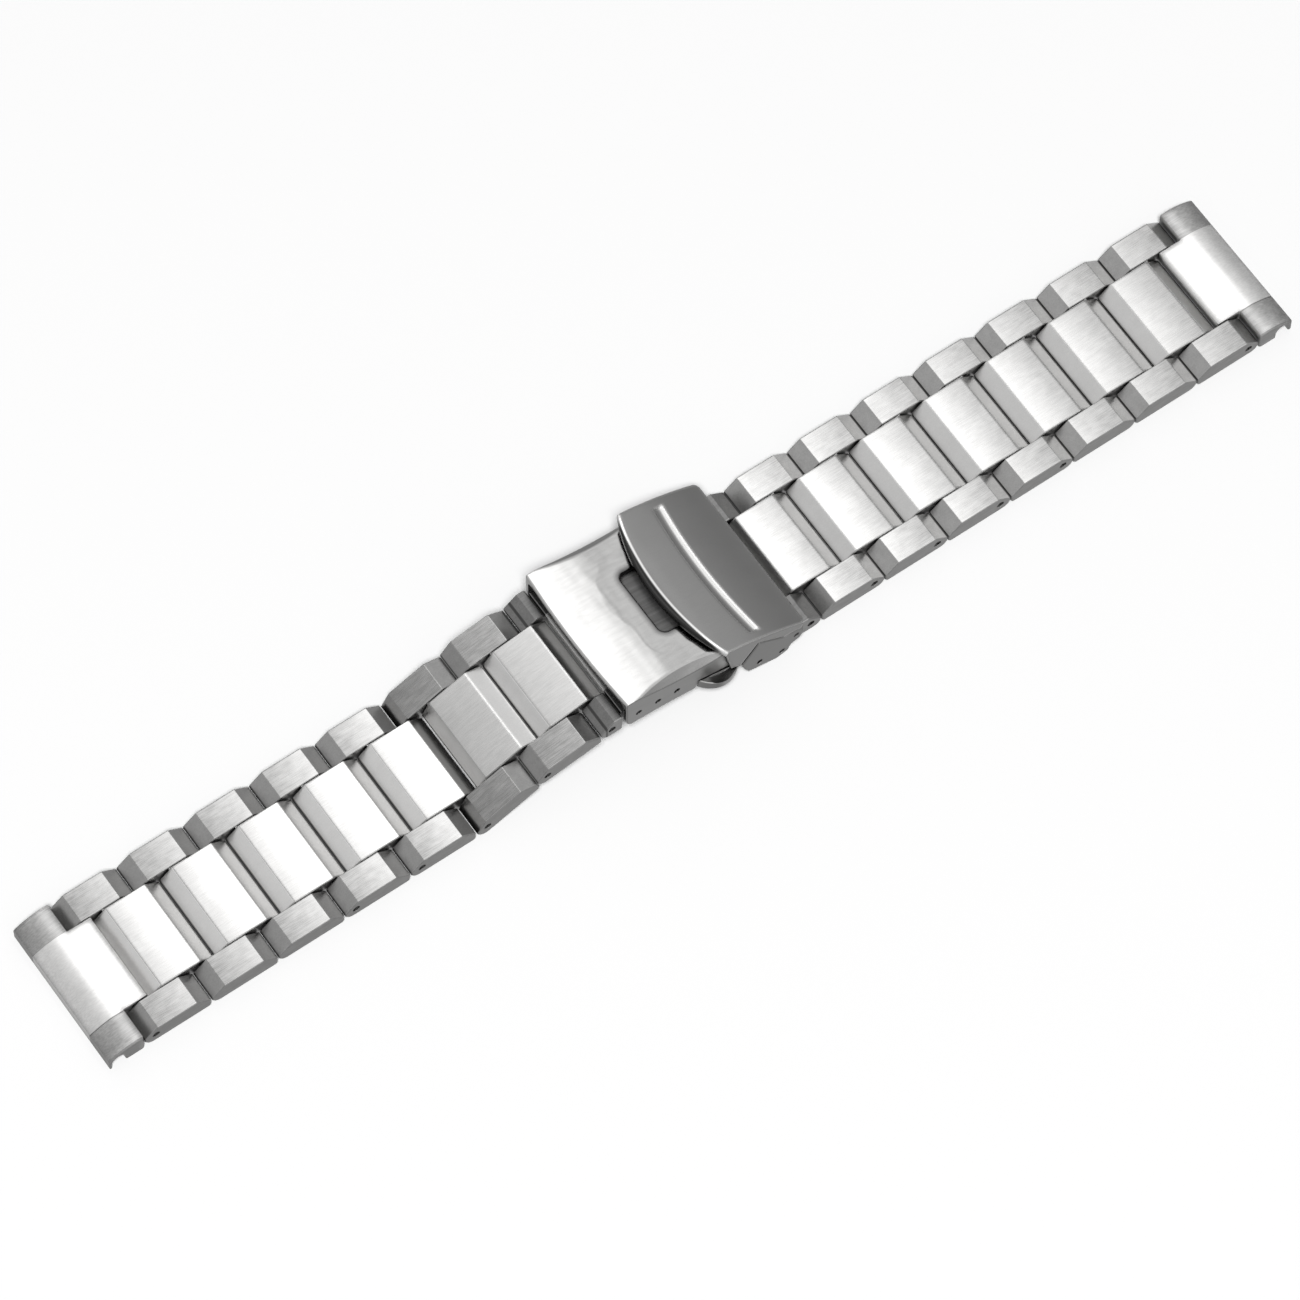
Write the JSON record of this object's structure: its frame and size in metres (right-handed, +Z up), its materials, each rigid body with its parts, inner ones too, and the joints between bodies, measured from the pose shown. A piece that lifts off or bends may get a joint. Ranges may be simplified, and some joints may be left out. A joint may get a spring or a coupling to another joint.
{
  "type": "link watch bracelet",
  "caption": "Steel watch strap of pinned three-column links with straight end pieces and a folding clasp held by a flip-over lock and two side push buttons.",
  "frame": {"origin": "centre of the underside, on the surface the strap lies on", "axes": "+X along the strap toward the flip lock's half, +Y across it, +Z up through the show side"},
  "size_m": [0.1842, 0.0258, 0.0118],
  "materials": {
    "link_steel": "brushed lengthwise, satin",
    "end_steel": "brushed, with a brighter middle band",
    "cover_steel": "polished",
    "lock_steel": "satin, fine grain along the strap",
    "bracket_steel": "satin",
    "blade_steel": "tumbled satin",
    "box_steel": "dark grey, coarse brushed",
    "pin_steel": "drawn wire"
  },
  "bodies": {
    "cover": {"cover": "cover_steel", "button_box": "box_steel", "button_spring": "pin_steel", "cover_hinge_pin": "pin_steel", "spring_bar_left": "pin_steel"},
    "button_front": {"button_front": "cover_steel"},
    "button_back": {"button_back": "cover_steel"},
    "upper_blade": {"upper_blade": "blade_steel"},
    "lower_blade": {"lower_blade": "blade_steel", "end_bracket": "bracket_steel", "bracket_rivets": "pin_steel", "blade_hinge_pin": "pin_steel", "spring_bar_right": "pin_steel", "flip_lock_pin": "pin_steel"},
    "flip_lock": {"flip_lock": "lock_steel"},
    "half_link_left": {"half_link_left": "link_steel", "link_pin_left_8": "pin_steel"},
    "link_left_1": {"link_left_1": "link_steel", "link_pin_left_1": "pin_steel"},
    "link_left_2": {"link_left_2": "link_steel", "link_pin_left_2": "pin_steel"},
    "link_left_3": {"link_left_3": "link_steel", "link_pin_left_3": "pin_steel"},
    "link_left_4": {"link_left_4": "link_steel", "link_pin_left_4": "pin_steel"},
    "link_left_5": {"link_left_5": "link_steel", "link_pin_left_5": "pin_steel"},
    "link_left_6": {"link_left_6": "link_steel", "link_pin_left_6": "pin_steel"},
    "link_left_7": {"link_left_7": "link_steel", "link_pin_left_7": "pin_steel"},
    "end_piece_left": {"end_piece_left": "end_steel"},
    "half_link_right": {"half_link_right": "link_steel", "link_pin_right_8": "pin_steel"},
    "link_right_1": {"link_right_1": "link_steel", "link_pin_right_1": "pin_steel"},
    "link_right_2": {"link_right_2": "link_steel", "link_pin_right_2": "pin_steel"},
    "link_right_3": {"link_right_3": "link_steel", "link_pin_right_3": "pin_steel"},
    "link_right_4": {"link_right_4": "link_steel", "link_pin_right_4": "pin_steel"},
    "link_right_5": {"link_right_5": "link_steel", "link_pin_right_5": "pin_steel"},
    "link_right_6": {"link_right_6": "link_steel", "link_pin_right_6": "pin_steel"},
    "link_right_7": {"link_right_7": "link_steel", "link_pin_right_7": "pin_steel"},
    "end_piece_right": {"end_piece_right": "end_steel"}
  },
  "joints": [
    {"name": "clasp_fold", "type": "hinge", "parent": "cover", "child": "upper_blade", "pos_m": [0.00255, 0, 0.00638], "axis": [0, -1, 0], "range_deg": [0, 50]},
    {"name": "blade_fold", "type": "hinge", "parent": "upper_blade", "child": "lower_blade", "pos_m": [-0.00759, 0, 0.00746], "axis": [0, 1, 0], "range_deg": [0, 50]},
    {"name": "flip_lock_open", "type": "hinge", "parent": "lower_blade", "child": "flip_lock", "pos_m": [0.01199, 0, 0.00373], "axis": [0, 1, 0], "range_deg": [0, 57.5]},
    {"name": "button_press_front", "type": "slide", "parent": "cover", "child": "button_front", "axis": [0, 1, 0], "range_m": [0, 0.0008], "stiffness_N_per_m": 400, "deforming": ["button_spring"]},
    {"name": "button_press_back", "type": "slide", "parent": "cover", "child": "button_back", "axis": [0, -1, 0], "range_m": [0, 0.0008], "stiffness_N_per_m": 400, "deforming": ["button_spring"]},
    {"name": "half_link_left_turn", "type": "hinge", "parent": "cover", "child": "half_link_left", "pos_m": [-0.012, 0, 0.00803], "axis": [0, 1, 0], "range_deg": [-25, 15]},
    {"name": "half_link_right_turn", "type": "hinge", "parent": "lower_blade", "child": "half_link_right", "pos_m": [0.00975, 0, 0.00168], "axis": [0, 1, 0], "range_deg": [-12, 25]},
    {"name": "link_left_7_turn", "type": "hinge", "parent": "half_link_left", "child": "link_left_7", "pos_m": [-0.0159, 0, 0.00718], "axis": [0, 1, 0], "range_deg": [-15.3, 33.7]},
    {"name": "link_left_6_turn", "type": "hinge", "parent": "link_left_7", "child": "link_left_6", "pos_m": [-0.02576, 0, 0.0055], "axis": [0, 1, 0], "range_deg": [-12.7, 36.3]},
    {"name": "link_left_5_turn", "type": "hinge", "parent": "link_left_6", "child": "link_left_5", "pos_m": [-0.03503, 0, 0.00175], "axis": [0, 1, 0], "range_deg": [-47, 2]},
    {"name": "link_left_4_turn", "type": "hinge", "parent": "link_left_5", "child": "link_left_4", "pos_m": [-0.04503, 0, 0.00175], "axis": [0, 1, 0], "range_deg": [-25, 24]},
    {"name": "link_left_3_turn", "type": "hinge", "parent": "link_left_4", "child": "link_left_3", "pos_m": [-0.05503, 0, 0.00175], "axis": [0, 1, 0], "range_deg": [-25, 24]},
    {"name": "link_left_2_turn", "type": "hinge", "parent": "link_left_3", "child": "link_left_2", "pos_m": [-0.06503, 0, 0.00175], "axis": [0, 1, 0], "range_deg": [-25, 24]},
    {"name": "link_left_1_turn", "type": "hinge", "parent": "link_left_2", "child": "link_left_1", "pos_m": [-0.07503, 0, 0.00175], "axis": [0, 1, 0], "range_deg": [-25, 24]},
    {"name": "end_piece_left_turn", "type": "hinge", "parent": "link_left_1", "child": "end_piece_left", "pos_m": [-0.08503, 0, 0.00175], "axis": [0, 1, 0], "range_deg": [-25, 24]},
    {"name": "link_right_7_turn", "type": "hinge", "parent": "half_link_right", "child": "link_right_7", "pos_m": [0.01503, 0, 0.00175], "axis": [0, 1, 0], "range_deg": [-24, 25]},
    {"name": "link_right_6_turn", "type": "hinge", "parent": "link_right_7", "child": "link_right_6", "pos_m": [0.02503, 0, 0.00175], "axis": [0, 1, 0], "range_deg": [-24, 25]},
    {"name": "link_right_5_turn", "type": "hinge", "parent": "link_right_6", "child": "link_right_5", "pos_m": [0.03503, 0, 0.00175], "axis": [0, 1, 0], "range_deg": [-24, 25]},
    {"name": "link_right_4_turn", "type": "hinge", "parent": "link_right_5", "child": "link_right_4", "pos_m": [0.04503, 0, 0.00175], "axis": [0, 1, 0], "range_deg": [-24, 25]},
    {"name": "link_right_3_turn", "type": "hinge", "parent": "link_right_4", "child": "link_right_3", "pos_m": [0.05503, 0, 0.00175], "axis": [0, 1, 0], "range_deg": [-24, 25]},
    {"name": "link_right_2_turn", "type": "hinge", "parent": "link_right_3", "child": "link_right_2", "pos_m": [0.06503, 0, 0.00175], "axis": [0, 1, 0], "range_deg": [-24, 25]},
    {"name": "link_right_1_turn", "type": "hinge", "parent": "link_right_2", "child": "link_right_1", "pos_m": [0.07503, 0, 0.00175], "axis": [0, 1, 0], "range_deg": [-24, 25]},
    {"name": "end_piece_right_turn", "type": "hinge", "parent": "link_right_1", "child": "end_piece_right", "pos_m": [0.08503, 0, 0.00175], "axis": [0, 1, 0], "range_deg": [-24, 25]}
  ],
  "couplings": [
    {"joint": "blade_fold", "follows": "clasp_fold", "ratio": 1},
    {"joint": "flip_lock_open", "follows": "clasp_fold", "ratio": 1.15}
  ]
}
